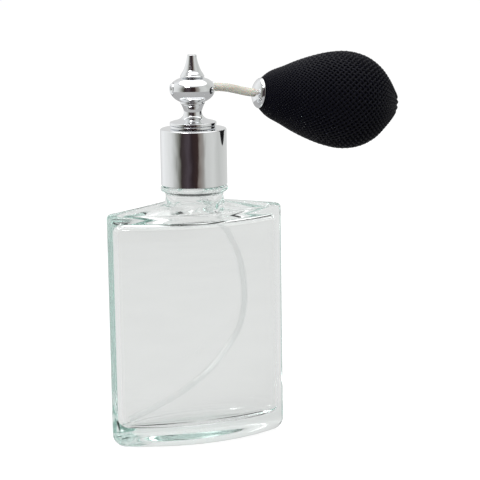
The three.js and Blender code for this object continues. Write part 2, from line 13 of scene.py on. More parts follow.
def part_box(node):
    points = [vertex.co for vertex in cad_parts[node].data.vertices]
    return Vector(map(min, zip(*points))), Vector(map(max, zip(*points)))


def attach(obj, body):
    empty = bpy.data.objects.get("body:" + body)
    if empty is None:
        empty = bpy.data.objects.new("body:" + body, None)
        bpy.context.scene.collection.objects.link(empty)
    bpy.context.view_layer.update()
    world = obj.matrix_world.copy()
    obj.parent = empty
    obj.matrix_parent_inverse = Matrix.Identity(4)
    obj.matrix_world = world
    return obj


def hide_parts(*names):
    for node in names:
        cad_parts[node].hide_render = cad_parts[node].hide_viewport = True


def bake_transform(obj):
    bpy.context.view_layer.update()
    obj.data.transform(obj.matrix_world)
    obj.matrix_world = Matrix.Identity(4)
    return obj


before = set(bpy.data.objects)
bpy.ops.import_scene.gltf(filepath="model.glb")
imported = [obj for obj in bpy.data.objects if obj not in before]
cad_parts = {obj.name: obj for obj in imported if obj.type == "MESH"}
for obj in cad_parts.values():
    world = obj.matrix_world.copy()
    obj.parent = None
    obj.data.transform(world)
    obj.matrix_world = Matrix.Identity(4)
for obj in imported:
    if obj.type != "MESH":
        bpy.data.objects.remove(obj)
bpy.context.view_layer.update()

MM = 0.001
UV_LAYER = "strand"


# ------------------------------------------------------------------- places

def span(node):
    """A CAD node's lowest and highest corner, in millimetres."""
    low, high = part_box(node)
    return Vector(low) / MM, Vector(high) / MM


bottle_low, bottle_high = span("bottle")
shell_low, shell_high = span("collar_shell")
seat_low, seat_high = span("seat_ring")
head_low, head_high = span("head_body")
finial_low, finial_high = span("finial")
nozzle_low, nozzle_high = span("nozzle_insert")
spigot_low, spigot_high = span("air_spigot")

# Bottle, as in the frame: a lens in plan with a rounded heel and shoulder edge.
HALF_WIDTH = 33.0
HALF_DEPTH = 12.65
END_RADIUS = 4.8
SHOULDER_Z = 85.7
HEEL_RADIUS = 4.6
SHOULDER_EDGE = 1.3
SIDE_WALL = 2.7
END_WALL = 3.2
FLOOR_Z = 7.2
FLOOR_CORNER = 2.8
CEILING_Z = 82.4
CEILING_ROUND = 3.0
NECK_ROOT_RADIUS = 11.2
NECK_ROOT_Z = 88.1
NECK_RADIUS = 10.5
NECK_BORE_RADIUS = 6.6
BEAD_RADIUS = 12.2
BEAD_LOW_Z = 92.4
BEAD_TOP_Z = 94.6
FINISH_RADIUS = 8.95
LIP_Z = bottle_high.z
LIP_ROUND = 0.6
THREAD_PITCH = 3.175
THREAD_CREST_RADIUS = 9.95
THREAD_START_Z = 102.5
THREAD_TURNS = 2.1
THREAD_ROOT_HALF = 0.9
THREAD_CREST_HALF = 0.4

# Collar, seat ring, head and finial.
COLLAR_RADIUS = shell_high.x
COLLAR_LOW_Z = shell_low.z
COLLAR_TOP_Z = shell_high.z
SHELL_WALL = 0.5
SHELL_EDGE = 0.6
SHELL_WEB = 0.25
CAP_HOLE_RADIUS = 5.3
HEAD_FOOT_Z = head_low.z
HEAD_FOOT_RADIUS = 8.45
JOURNAL_RADIUS = 2.75
ONION_RADIUS = 8.15
ONION_Z = 129.4
ONION_TOP_Z = head_high.z
CROSS_BORE_RADIUS = 2.2
CROSS_BORE_Z = (nozzle_low.z + nozzle_high.z) / 2
STUD_RADIUS = 1.5
FINIAL_BASE_Z = 133.55
FINIAL_BASE_RADIUS = finial_high.x
TIP_RADIUS = 1.72
TIP_Z = finial_high.z

# Air tube and bulb.
AIR_TUBE_RADIUS = 1.53
AIR_TUBE_BORE = 0.95
SPIGOT_FACE_X = 7.95
SPIGOT_RADIUS = 0.7
BULB_MOUTH = Vector((25.5, 0, 126.5))
BULB_TILT = math.radians(7.3)
BULB_LENGTH = 54.2
CUP_DEPTH = 2.2
CUP_RADIUS = 5.6
CUP_FLOOR = -0.8
PLUG_RADIUS = 3.0
RUBBER_WALL = 1.6
RUBBER_UNDER_NET = 1.0
RUBBER_HOLLOW_START = 6.0
RUBBER_HOLLOW_END = 50.0
RUBBER_TAIL_LOW = 49.0
RUBBER_TAIL_HIGH = 51.9
VALVE_RADIUS = 2.3
VALVE_OUT = 52.8

# Dip tube.
DIP_RADIUS = 1.3
DIP_BORE = 0.75

# The bulb's own axes: X runs from the cup's rim along the bulb.
BULB_FRAME = Matrix.Translation(BULB_MOUTH) @ Matrix.Rotation(BULB_TILT, 4, "Y")
LATHE_TO_X = Matrix.Rotation(math.pi / 2, 4, "Y")
UPRIGHT = Matrix.Identity(4)


# ------------------------------------------------------------ shape helpers

def arc(centre_x, centre_y, radius, start, end, steps):
    """Points on an arc, from one angle to another in degrees."""
    points = []
    for i in range(steps + 1):
        angle = math.radians(start + (end - start) * i / steps)
        points.append((centre_x + radius * math.cos(angle), centre_y + radius * math.sin(angle)))
    return points


def smooth(points, steps):
    """A Catmull-Rom curve through the points, with this many steps in each gap."""
    vectors = [Vector(point) for point in points]
    ends = [2 * vectors[0] - vectors[1], *vectors, 2 * vectors[-1] - vectors[-2]]
    curve = []
    for before, start, end, after in zip(ends, ends[1:], ends[2:], ends[3:]):
        for i in range(steps):
            t = i / steps
            curve.append(0.5 * (
                2 * start + (end - before) * t
                + (2 * before - 5 * start + 4 * end - after) * t ** 2
                + (3 * start - before - 3 * end + after) * t ** 3))
    curve.append(vectors[-1])
    return [tuple(point) for point in curve]


def make_mesh(name, corners, faces, material, place=UPRIGHT, sharp=40, uvs=None):
    """A smooth mesh object from millimetre corners, with creases past the sharp angle."""
    mesh = bpy.data.meshes.new(name)
    mesh.from_pydata([place @ Vector(corner) * MM for corner in corners], [], faces)
    mesh.validate()
    if uvs is not None:
        layer = mesh.uv_layers.new(name=UV_LAYER)
        loops = np.empty(len(mesh.loops), int)
        mesh.loops.foreach_get("vertex_index", loops)
        layer.data.foreach_set("uv", np.asarray(uvs, np.float32)[loops].ravel())
    mesh.shade_smooth()
    mesh.set_sharp_from_angle(angle=math.radians(sharp))
    mesh.materials.append(material)
    piece = bpy.data.objects.new(name, mesh)
    bpy.context.scene.collection.objects.link(piece)
    return piece


def skin_faces(rings, sides, first=0, closed=False):
    """Quads between rings of corners, and from the last ring to the first if closed."""
    faces = []
    last = rings if closed else rings - 1
    for ring in range(last):
        near = first + ring * sides
        far = first + ((ring + 1) % rings) * sides
        for side in range(sides):
            after = (side + 1) % sides
            faces.append((near + side, near + after, far + after, far + side))
    return faces


def turned(name, outline, material, place=UPRIGHT, sides=96, sharp=40):
    """Turns an outline of (radius, height) about Z. It ends on the axis or closes on itself."""
    on_axis = outline[0][0] < 1e-6
    body = outline[1:-1] if on_axis else outline
    corners = []
    for radius, height in body:
        for side in range(sides):
            angle = 2 * math.pi * side / sides
            corners.append((radius * math.cos(angle), radius * math.sin(angle), height))
    faces = skin_faces(len(body), sides, closed=not on_axis)
    if on_axis:
        bottom, top = len(corners), len(corners) + 1
        corners += [(0, 0, outline[0][1]), (0, 0, outline[-1][1])]
        ring = (len(body) - 1) * sides
        for side in range(sides):
            after = (side + 1) % sides
            faces.append((bottom, after, side))
            faces.append((top, ring + side, ring + after))
    return make_mesh(name, corners, faces, material, place, sharp)


def turned_x(name, outline, material, place=UPRIGHT, sides=96, sharp=40):
    """Turns an outline of (radius, distance) about X."""
    return turned(name, outline, material, place @ LATHE_TO_X, sides, sharp)


def route_frames(route):
    """Two unit vectors across a route at each of its points, with no twist between them."""
    points = [Vector(point) for point in route]
    across = Vector((0, 1, 0))
    frames = []
    for i, _ in enumerate(points):
        along = (points[min(i + 1, len(points) - 1)] - points[max(i - 1, 0)]).normalized()
        across = (across - along * across.dot(along)).normalized()
        frames.append((across, along.cross(across)))
    return frames


def hose(name, route, outer, bore, material, sides=32):
    """A hollow tube along a route, with flat ends."""
    corners = []
    frames = route_frames(route)
    for radius in (outer, bore):
        for point, (u, v) in zip(route, frames):
            for side in range(sides):
                angle = 2 * math.pi * side / sides
                offset = (u * math.cos(angle) + v * math.sin(angle)) * radius
                corners.append(Vector(point) + offset)
    count = len(route)
    inside = count * sides
    faces = skin_faces(count, sides)
    faces += [tuple(reversed(face)) for face in skin_faces(count, sides, inside)]
    for side in range(sides):
        after = (side + 1) % sides
        faces.append((side, inside + side, inside + after, after))
        end = (count - 1) * sides
        faces.append((end + side, end + after, inside + end + after, inside + end + side))
    return make_mesh(name, corners, faces, material, sharp=50)


# ---------------------------------------------------------------- materials

def new_material(name):
    """A material with its Principled shader and its node tree."""
    material = bpy.data.materials.new(name)
    material.use_nodes = True
    return material, material.node_tree, material.node_tree.nodes["Principled BSDF"]


def add_noise(tree, scale, detail=3.0, stretch=(1, 1, 1)):
    """Noise over the object's own coordinates, optionally stretched."""
    place = tree.nodes.new("ShaderNodeTexCoord")
    mapping = tree.nodes.new("ShaderNodeMapping")
    mapping.inputs["Scale"].default_value = stretch
    noise = tree.nodes.new("ShaderNodeTexNoise")
    noise.inputs["Scale"].default_value = scale
    noise.inputs["Detail"].default_value = detail
    tree.links.new(place.outputs["Object"], mapping.inputs["Vector"])
    tree.links.new(mapping.outputs["Vector"], noise.inputs["Vector"])
    return noise.outputs["Fac"]


def add_ramp(tree, factor, low, high, start=0.3, end=0.7):
    """Two colours mixed by a factor."""
    ramp = tree.nodes.new("ShaderNodeValToRGB")
    ramp.color_ramp.elements[0].position = start
    ramp.color_ramp.elements[0].color = (*low, 1)
    ramp.color_ramp.elements[1].position = end
    ramp.color_ramp.elements[1].color = (*high, 1)
    tree.links.new(factor, ramp.inputs["Fac"])
    return ramp.outputs["Color"]


def add_range(tree, factor, low, high):
    """A factor of 0 to 1 spread over another range."""
    spread = tree.nodes.new("ShaderNodeMapRange")
    spread.inputs["To Min"].default_value = low
    spread.inputs["To Max"].default_value = high
    tree.links.new(factor, spread.inputs["Value"])
    return spread.outputs["Result"]


def add_bump(tree, shader, height, depth, strength=1.0):
    """Fine relief, of this depth in metres."""
    bump = tree.nodes.new("ShaderNodeBump")
    bump.inputs["Strength"].default_value = strength
    bump.inputs["Distance"].default_value = depth
    tree.links.new(height, bump.inputs["Height"])
    tree.links.new(bump.outputs["Normal"], shader.inputs["Normal"])


def glass_material():
    """Pressed soda-lime glass, a little green where the path through it is long."""
    material, tree, shader = new_material("clear_glass")
    shader.inputs["Base Color"].default_value = (0.965, 0.97, 0.965, 1)
    shader.inputs["Transmission Weight"].default_value = 1.0
    shader.inputs["Roughness"].default_value = 0.0
    shader.inputs["IOR"].default_value = 1.5
    add_bump(tree, shader, add_noise(tree, 32, 1), 0.00006, 0.10)
    absorb = tree.nodes.new("ShaderNodeVolumeAbsorption")
    absorb.inputs["Color"].default_value = (0.44, 0.73, 0.66, 1)
    absorb.inputs["Density"].default_value = 6.0
    output = tree.nodes["Material Output"]
    tree.links.new(absorb.outputs["Volume"], output.inputs["Volume"])
    return material


def chrome_material():
    """Bright chrome plate with the faintest haze and polishing marks."""
    material, tree, shader = new_material("chrome")
    shader.inputs["Metallic"].default_value = 1.0
    haze = add_noise(tree, 260, 4)
    shader.inputs["Base Color"].default_value = (0.86, 0.87, 0.885, 1)
    tree.links.new(add_range(tree, haze, 0.03, 0.085), shader.inputs["Roughness"])
    add_bump(tree, shader, add_noise(tree, 900, 3, (1, 1, 0.2)), 0.000004, 0.4)
    return material


def tube_material():
    """Soft satin tubing with faint lengthwise drawing lines."""
    material, tree, shader = new_material("tube_plastic")
    streaks = add_noise(tree, 900, 3, (0.03, 1, 1))
    color = add_ramp(tree, streaks, (0.47, 0.455, 0.385), (0.69, 0.67, 0.59))
    tree.links.new(color, shader.inputs["Base Color"])
    tree.links.new(add_range(tree, streaks, 0.22, 0.38), shader.inputs["Roughness"])
    shader.inputs["Coat Weight"].default_value = 0.3
    shader.inputs["Coat Roughness"].default_value = 0.1
    shader.inputs["Subsurface Weight"].default_value = 0.2
    shader.inputs["Subsurface Scale"].default_value = 0.001
    add_bump(tree, shader, streaks, 0.00004, 0.5)
    return material


def clear_plastic_material():
    """Clear extruded tubing, a touch milky, with faint draw lines."""
    material, tree, shader = new_material("clear_plastic")
    draw = add_noise(tree, 300, 2, (1, 1, 0.1))
    tree.links.new(add_ramp(tree, draw, (0.97, 0.985, 0.985), (1.0, 1.0, 1.0)),
                   shader.inputs["Base Color"])
    shader.inputs["Transmission Weight"].default_value = 0.93
    shader.inputs["IOR"].default_value = 1.06
    shader.inputs["Coat Weight"].default_value = 0.9
    shader.inputs["Coat Roughness"].default_value = 0.08
    tree.links.new(add_range(tree, draw, 0.02, 0.08), shader.inputs["Roughness"])
    return material


def rubber_material():
    """Black moulded rubber with a fine grain."""
    material, tree, shader = new_material("black_rubber")
    grain = add_noise(tree, 1500, 4)
    tree.links.new(add_ramp(tree, grain, (0.004, 0.004, 0.006), (0.009, 0.008, 0.013)),
                   shader.inputs["Base Color"])
    tree.links.new(add_range(tree, grain, 0.55, 0.8), shader.inputs["Roughness"])
    shader.inputs["Specular IOR Level"].default_value = 0.25
    add_bump(tree, shader, grain, 0.00003, 0.5)
    return material


def yarn_material():
    """Black net yarn: two plies twisted together, with a soft sheen on top."""
    material, tree, shader = new_material("black_yarn")
    uv = tree.nodes.new("ShaderNodeUVMap")
    uv.uv_map = UV_LAYER
    plies = tree.nodes.new("ShaderNodeTexWave")
    plies.wave_type = "BANDS"
    plies.bands_direction = "DIAGONAL"
    plies.inputs["Scale"].default_value = 1.0
    plies.inputs["Distortion"].default_value = 1.5
    tree.links.new(uv.outputs["UV"], plies.inputs["Vector"])
    color = add_ramp(tree, plies.outputs["Fac"], (0.0004, 0.0004, 0.0026),
                     (0.0022, 0.0022, 0.0090), 0.1, 0.9)
    tree.links.new(color, shader.inputs["Base Color"])
    fuzz = add_noise(tree, 1800, 2)
    tree.links.new(add_range(tree, fuzz, 0.26, 0.40), shader.inputs["Roughness"])
    shader.inputs["Specular IOR Level"].default_value = 0.15
    shader.inputs["Sheen Weight"].default_value = 0.01
    shader.inputs["Sheen Roughness"].default_value = 0.4
    add_bump(tree, shader, plies.outputs["Fac"], 0.00008, 0.7)
    return material


def plastic_material(name, low, high, roughness):
    """Moulded plastic with a fine spark-eroded texture."""
    material, tree, shader = new_material(name)
    grain = add_noise(tree, 1200, 3)
    tree.links.new(add_ramp(tree, grain, low, high), shader.inputs["Base Color"])
    tree.links.new(add_range(tree, grain, roughness, roughness + 0.12), shader.inputs["Roughness"])
    add_bump(tree, shader, grain, 0.00002, 0.4)
    return material


def steel_material():
    """Drawn steel with fine lines round it."""
    material, tree, shader = new_material("steel")
    shader.inputs["Metallic"].default_value = 1.0
    lines = add_noise(tree, 1500, 3, (1, 0.1, 0.1))
    tree.links.new(add_ramp(tree, lines, (0.50, 0.51, 0.53), (0.68, 0.69, 0.71)),
                   shader.inputs["Base Color"])
    tree.links.new(add_range(tree, lines, 0.18, 0.34), shader.inputs["Roughness"])
    return material


GLASS = glass_material()
CHROME = chrome_material()
TUBE_PLASTIC = tube_material()
CLEAR_PLASTIC = clear_plastic_material()
RUBBER = rubber_material()
YARN = yarn_material()
DARK_PLASTIC = plastic_material("dark_plastic", (0.018, 0.018, 0.02), (0.03, 0.03, 0.032), 0.42)
NATURAL_PLASTIC = plastic_material("natural_plastic", (0.70, 0.69, 0.64), (0.82, 0.81, 0.77), 0.28)
STEEL = steel_material()


def put(piece, body, slot, *nodes):
    """Rides a piece on a body and hides the CAD nodes that it stands for. The slot is not used."""
    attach(piece, body)
    if nodes:
        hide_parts(*nodes)
    return piece


# ------------------------------------------------------------------- bottle

WIDE_ARC_STEPS = 48
END_ARC_STEPS = 24
BOTTLE_SIDES = 2 * (WIDE_ARC_STEPS + END_ARC_STEPS)


def lens_ring(half_width, half_depth, end_radius, z):
    """The lens outline as a ring of corners at height z."""
    reach = half_width - end_radius
    wide_radius = (reach ** 2 + half_depth ** 2 - end_radius ** 2) / (2 * (half_depth - end_radius))
    face = math.degrees(math.atan2(reach, wide_radius - half_depth))
    drop = half_depth - wide_radius
    plan = arc(reach, 0, end_radius, face - 90, 90 - face, END_ARC_STEPS)[:-1]
    plan += arc(0, drop, wide_radius, 90 - face, 90 + face, WIDE_ARC_STEPS)[:-1]
    plan += arc(-reach, 0, end_radius, 90 + face, 270 - face, END_ARC_STEPS)[:-1]
    plan += arc(0, -drop, wide_radius, 270 - face, 270 + face, WIDE_ARC_STEPS)[:-1]
    return [(x, y, z) for x, y in plan]


def body_ring(inset, z):
    """The outer outline, moved in by an inset."""
    return lens_ring(HALF_WIDTH - inset, HALF_DEPTH - inset, END_RADIUS - 0.8 * inset, z)


def cavity_ring(inset, z):
    """The cavity's outline, moved in by an inset."""
    end_radius = END_RADIUS - SIDE_WALL + 1.2 - 0.5 * inset
    return lens_ring(HALF_WIDTH - END_WALL - inset, HALF_DEPTH - SIDE_WALL - inset, end_radius, z)


def round_ring(radius, z):
    """A circle whose corners match the lens outline's."""
    start = -180 * END_ARC_STEPS / BOTTLE_SIDES
    return [(x, y, z) for x, y in arc(0, 0, radius, start, start + 360, BOTTLE_SIDES)[:-1]]


def blend_ring(start, end, share, z):
    """A ring part of the way from one outline to another."""
    return [(x + (u - x) * share, y + (v - y) * share, z)
            for (x, y, _), (u, v, _) in zip(start, end)]


def thread_ring(z):
    """The screw finish at height z, with the helical thread standing out of it."""
    corners = []
    half_flank = THREAD_ROOT_HALF - THREAD_CREST_HALF
    for x, y, _ in round_ring(1.0, z):
        angle = math.atan2(y, x) % (2 * math.pi)
        rise = 0.0
        for turn in range(math.ceil(THREAD_TURNS)):
            wound = angle / (2 * math.pi) + turn
            if wound > THREAD_TURNS:
                continue
            off = abs(z - THREAD_START_Z - THREAD_PITCH * wound)
            height = min(1.0, max(0.0, (THREAD_ROOT_HALF - off) / half_flank))
            ends = min(1.0, 12 * wound, 12 * (THREAD_TURNS - wound))
            rise = max(rise, height * ends)
        radius = FINISH_RADIUS + (THREAD_CREST_RADIUS - FINISH_RADIUS) * rise
        corners.append((x * radius, y * radius, z))
    return corners


def bottle_rings():
    """The glass surface, from the base's middle up the outside and down the inside."""
    rings = [body_ring(inset, z) for inset, z in [(9.0, 0.0), (6.5, 0.0)]]
    heel = arc(HEEL_RADIUS, HEEL_RADIUS, HEEL_RADIUS, 270, 180, 14)
    rings += [body_ring(inset, z) for inset, z in heel]
    rings += [body_ring(0, z) for z in (20, 40, 60, 75)]
    edge = arc(SHOULDER_EDGE, SHOULDER_Z - SHOULDER_EDGE, SHOULDER_EDGE, 180, 90, 8)
    rings += [body_ring(inset, z) for inset, z in edge]
    rim = body_ring(SHOULDER_EDGE, 0)
    root = round_ring(NECK_ROOT_RADIUS, 0)
    for step in range(1, 13):
        share = step / 12
        z = SHOULDER_Z + (NECK_ROOT_Z - SHOULDER_Z) * share
        rings.append(blend_ring(rim, root, share, z))
    neck = smooth([
        (NECK_ROOT_RADIUS - 0.25, NECK_ROOT_Z + 0.35), (NECK_RADIUS + 0.2, NECK_ROOT_Z + 0.9),
        (NECK_RADIUS, NECK_ROOT_Z + 1.8), (NECK_RADIUS, BEAD_LOW_Z - 0.7),
        (NECK_RADIUS + 0.35, BEAD_LOW_Z - 0.1), (NECK_RADIUS + 1.1, BEAD_LOW_Z + 0.25)], 4)
    bead = arc(BEAD_RADIUS - 0.9, (BEAD_LOW_Z + BEAD_TOP_Z) / 2, 0.9, -58, 66, 12)
    ledge = [(FINISH_RADIUS + 1.2, BEAD_TOP_Z - 0.05), (FINISH_RADIUS + 0.35, BEAD_TOP_Z + 0.1),
             (FINISH_RADIUS + 0.1, BEAD_TOP_Z + 0.4), (FINISH_RADIUS, BEAD_TOP_Z + 0.9)]
    rings += [round_ring(radius, z) for radius, z in neck + bead + ledge]
    thread_low = THREAD_START_Z - 1.2
    thread_steps = 60
    thread_high = LIP_Z - LIP_ROUND - 0.4
    for step in range(thread_steps + 1):
        rings.append(thread_ring(thread_low + (thread_high - thread_low) * step / thread_steps))
    lip = arc(FINISH_RADIUS - LIP_ROUND, LIP_Z - LIP_ROUND, LIP_ROUND, 0, 90, 6)
    lip += arc(NECK_BORE_RADIUS + LIP_ROUND, LIP_Z - LIP_ROUND, LIP_ROUND, 90, 180, 6)
    throat = smooth([
        (NECK_BORE_RADIUS, BEAD_LOW_Z + 4), (NECK_BORE_RADIUS + 0.15, BEAD_LOW_Z),
        (NECK_BORE_RADIUS + 0.6, NECK_ROOT_Z), (NECK_BORE_RADIUS + 1.6, NECK_ROOT_Z - 2.6)], 4)
    rings += [round_ring(radius, z) for radius, z in lip + throat]
    bore = round_ring(NECK_BORE_RADIUS + 1.6, 0)
    ceiling = cavity_ring(CEILING_ROUND, 0)
    ceiling_start = NECK_ROOT_Z - 2.6
    for step in range(1, 13):
        share = step / 12
        z = ceiling_start - (ceiling_start - CEILING_Z) * math.sin(share * math.pi / 2)
        rings.append(blend_ring(bore, ceiling, share, z))
    for inset, z in arc(CEILING_ROUND, CEILING_Z - CEILING_ROUND, CEILING_ROUND, 80, 180, 12):
        rings.append(cavity_ring(inset, z))
    rings += [cavity_ring(0, z) for z in (60, 40, 20)]
    corner = arc(FLOOR_CORNER, FLOOR_Z + FLOOR_CORNER, FLOOR_CORNER, 180, 270, 10)
    rings += [cavity_ring(inset, z) for inset, z in corner]
    rings += [cavity_ring(inset, FLOOR_Z) for inset in (4.5, 7.0)]
    return rings


def make_bottle():
    """The glass bottle, closed inside and out."""
    rings = bottle_rings()
    corners = [corner for ring in rings for corner in ring]
    faces = skin_faces(len(rings), BOTTLE_SIDES)
    bottom, top = len(corners), len(corners) + 1
    corners += [(0, 0, 0), (0, 0, FLOOR_Z)]
    last = (len(rings) - 1) * BOTTLE_SIDES
    for side in range(BOTTLE_SIDES):
        after = (side + 1) % BOTTLE_SIDES
        faces.append((bottom, after, side))
        faces.append((top, last + side, last + after))
    piece = make_mesh("bottle_glass", corners, faces, GLASS, sharp=60)
    put(piece, "bottle", "clear_glass", "bottle")


# ------------------------------------------------------------------ closure

def make_collar():
    """The screw collar's thin chrome shell."""
    web_low = COLLAR_TOP_Z - SHELL_WEB
    outline = [
        (COLLAR_RADIUS - SHELL_WALL, COLLAR_LOW_Z + 0.1),
        (COLLAR_RADIUS - SHELL_WALL + 0.1, COLLAR_LOW_Z),
        (COLLAR_RADIUS - 0.12, COLLAR_LOW_Z),
        (COLLAR_RADIUS, COLLAR_LOW_Z + 0.12),
        *arc(COLLAR_RADIUS - SHELL_EDGE, COLLAR_TOP_Z - SHELL_EDGE, SHELL_EDGE, 0, 90, 8),
        (CAP_HOLE_RADIUS, COLLAR_TOP_Z),
        (CAP_HOLE_RADIUS, web_low),
        (COLLAR_RADIUS - SHELL_WALL, web_low),
    ]
    piece = turned("collar_skin", outline, CHROME, sides=128)
    put(piece, "collar", "chrome", "collar_shell")


def make_seat_ring():
    """The chrome ring under the head's foot."""
    low, high, radius = seat_low.z, seat_high.z, seat_high.x
    outline = [
        (JOURNAL_RADIUS, low),
        (radius - 0.1, low),
        (radius, low + 0.1),
        *arc(radius - 0.35, high - 0.35, 0.35, 0, 90, 5),
        (JOURNAL_RADIUS, high),
    ]
    put(turned("seat_disc", outline, CHROME, sides=128), "closure", "chrome", "seat_ring")


DIP_ROUTE = [
    (0, 111.6), (0, 101), (1.5, 93.5), (5.6, 86.5), (10.4, 79.5), (14.8, 71), (17.4, 61),
    (17.9, 50), (15.9, 41), (11.3, 33.5), (4.5, 26), (-5, 19), (-16, 13.6), (-26.4, 9.6),
]


def make_dip_tube():
    """The clear tube that draws the perfume."""
    route = [(x, 0, z) for x, z in smooth(DIP_ROUTE, 8)]
    piece = hose("dip_tube_clear", route, DIP_RADIUS, DIP_BORE, CLEAR_PLASTIC, 24)
    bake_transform(piece)
    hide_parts("dip_tube")


# --------------------------------------------------------------------- head

def head_outline():
    """The turned head's outline, from its foot to the seat of the finial."""
    foot_top = HEAD_FOOT_Z + 1.05
    waist = smooth([
        (8.0, foot_top + 0.05), (7.4, 117.8), (5.9, 118.2), (4.5, 118.85), (3.6, 119.8),
        (3.3, 120.9), (3.5, 122.2), (4.15, 123.8)], 5)
    ring = [(4.35, 123.95), (4.45, 124.1), (4.45, 124.45), (4.35, 124.6), (4.5, 124.75)]
    onion = smooth([
        (4.7, 124.85), (5.5, 125.25), (6.5, 125.95), (7.5, 127.05), (8.0, 128.3),
        (ONION_RADIUS, ONION_Z), (8.0, 130.4), (7.5, 131.35), (6.8, 132.05), (5.7, 132.75),
        (4.6, 133.2), (4.3, ONION_TOP_Z - 0.05)], 4)
    return [
        (0, HEAD_FOOT_Z),
        (HEAD_FOOT_RADIUS - 0.08, HEAD_FOOT_Z),
        (HEAD_FOOT_RADIUS, HEAD_FOOT_Z + 0.08),
        *arc(HEAD_FOOT_RADIUS - 0.3, foot_top - 0.3, 0.3, 0, 85, 4),
        *waist, *ring, *onion,
        (0, ONION_TOP_Z),
    ]


def cut_bore(piece, radius):
    """Drills the level bore through the head."""
    outline = [(0, -12), (radius, -12), (radius, 12), (0, 12)]
    drill = turned_x("drill", outline, CHROME, Matrix.Translation((0, 0, CROSS_BORE_Z)), 48)
    modifier = piece.modifiers.new("bore", "BOOLEAN")
    modifier.operation = "DIFFERENCE"
    modifier.solver = "EXACT"
    modifier.object = drill
    depsgraph = bpy.context.evaluated_depsgraph_get()
    mesh = bpy.data.meshes.new_from_object(piece.evaluated_get(depsgraph))
    piece.modifiers.clear()
    piece.data = mesh
    mesh.set_sharp_from_angle(angle=math.radians(40))
    bpy.data.objects.remove(drill)


def make_head():
    """The turned spray head."""
    piece = turned("head_turning", head_outline(), CHROME, sides=128)
    cut_bore(piece, CROSS_BORE_RADIUS)
    put(piece, "head", "chrome", "head_body")


def make_finial():
    """The pointed cap on its stud."""
    outline = [
        (0, CROSS_BORE_Z + CROSS_BORE_RADIUS),
        (STUD_RADIUS, CROSS_BORE_Z + CROSS_BORE_RADIUS),
        (STUD_RADIUS, FINIAL_BASE_Z),
        (FINIAL_BASE_RADIUS - 0.2, FINIAL_BASE_Z),
        *arc(FINIAL_BASE_RADIUS - 0.3, FINIAL_BASE_Z + 0.35, 0.3, -70, 60, 6),
        *smooth([(4.15, 134.35), (3.92, 134.8), (3.22, 135.9), (2.68, 137.2), (2.15, 138.8),
                 (1.8, 140.4), (TIP_RADIUS, TIP_Z - 0.3)], 6),
        *arc(TIP_RADIUS - 0.3, TIP_Z - 0.3, 0.3, 10, 90, 5),
        (0, TIP_Z),
    ]
    put(turned("finial_turning", outline, CHROME), "head", "chrome", "finial")


def make_nozzle():
    """The spray nozzle, flush in the head."""
    face, depth = nozzle_low.x, nozzle_high.x - nozzle_low.x
    radius = CROSS_BORE_RADIUS - 0.15
    orifice = 0.4
    outline = [
        (orifice, face + 0.9),
        (orifice + 0.08, face + 0.75),
        (1.05, face + 0.06),
        (1.18, face),
        (radius - 0.35, face),
        *arc(radius - 0.3, face + 0.3, 0.3, 285, 360, 5),
        (radius, face + depth),
        (orifice, face + depth),
    ]
    place = Matrix.Translation((0, 0, CROSS_BORE_Z))
    piece = turned_x("nozzle_jet", outline, CHROME, place, 64)
    put(piece, "head", "chrome", "nozzle_insert")


def make_air_spigot():
    """The plug and barb that hold the air tube."""
    radius = CROSS_BORE_RADIUS - 0.15
    bore = 0.4
    end = spigot_high.x
    outline = [
        (bore, spigot_low.x),
        (radius, spigot_low.x),
        *arc(radius - 0.35, SPIGOT_FACE_X - 0.35, 0.35, 0, 90, 5),
        (SPIGOT_RADIUS, SPIGOT_FACE_X),
        (SPIGOT_RADIUS, end - 0.2),
        (SPIGOT_RADIUS - 0.15, end),
        (bore, end),
    ]
    place = Matrix.Translation((0, 0, CROSS_BORE_Z))
    piece = turned_x("spigot_plug", outline, CHROME, place, 64)
    put(piece, "head", "chrome", "air_spigot")


def bezier(start, leave, arrive, end, steps):
    """Points on a cubic Bezier curve."""
    points = []
    for i in range(steps + 1):
        t = i / steps
        points.append(start * (1 - t) ** 3 + leave * 3 * t * (1 - t) ** 2
                      + arrive * 3 * t ** 2 * (1 - t) + end * t ** 3)
    return points


def make_air_tube():
    """The soft tube from the head to the cup."""
    along = Vector((math.cos(BULB_TILT), 0, -math.sin(BULB_TILT)))
    start = Vector((SPIGOT_FACE_X + 0.05, 0, CROSS_BORE_Z))
    end = BULB_MOUTH - along * (CUP_DEPTH + 0.05)
    route = bezier(start, start + Vector((6, 0, 0)), end - along * 5, end, 40)
    piece = hose("air_hose", route, AIR_TUBE_RADIUS, AIR_TUBE_BORE, TUBE_PLASTIC)
    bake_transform(piece)
    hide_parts("air_tube")


# --------------------------------------------------------------------- bulb

NET_SHAPE = [
    (5.4, 0.4), (8.4, 4.2), (10.7, 9.4), (13.1, 14.6), (15.4, 20.8), (17.1, 27.0),
    (17.85, 33.3), (16.9, 39.5), (14.3, 44.7), (10.5, 48.9), (6.9, 52.0), (4.5, 53.7),
]
NET_DIMPLE = [(3.9, 53.9), (3.4, 53.4), (3.1, 52.6), (3.0, 51.8)]


def make_cup():
    """The flared cup at the bulb's mouth."""
    back = -CUP_DEPTH
    bore = SPIGOT_RADIUS + 0.3
    outline = [
        (bore, back),
        (1.7, back),
        *smooth([(1.8, back + 0.02), (2.3, back + 0.08), (3.6, -1.72), (4.6, -1.15),
                 (5.3, -0.5), (CUP_RADIUS - 0.05, 0)], 6),
        *arc(CUP_RADIUS - 0.15, 0.15, 0.15, -30, 90, 5),
        (CUP_RADIUS - 0.5, 0.3),
        (PLUG_RADIUS + 0.3, -0.4),
        (PLUG_RADIUS + 0.3, CUP_FLOOR),
        (bore, CUP_FLOOR),
    ]
    put(turned_x("cup_turning", outline, CHROME, BULB_FRAME), "bulb", "chrome", "bulb_cup")


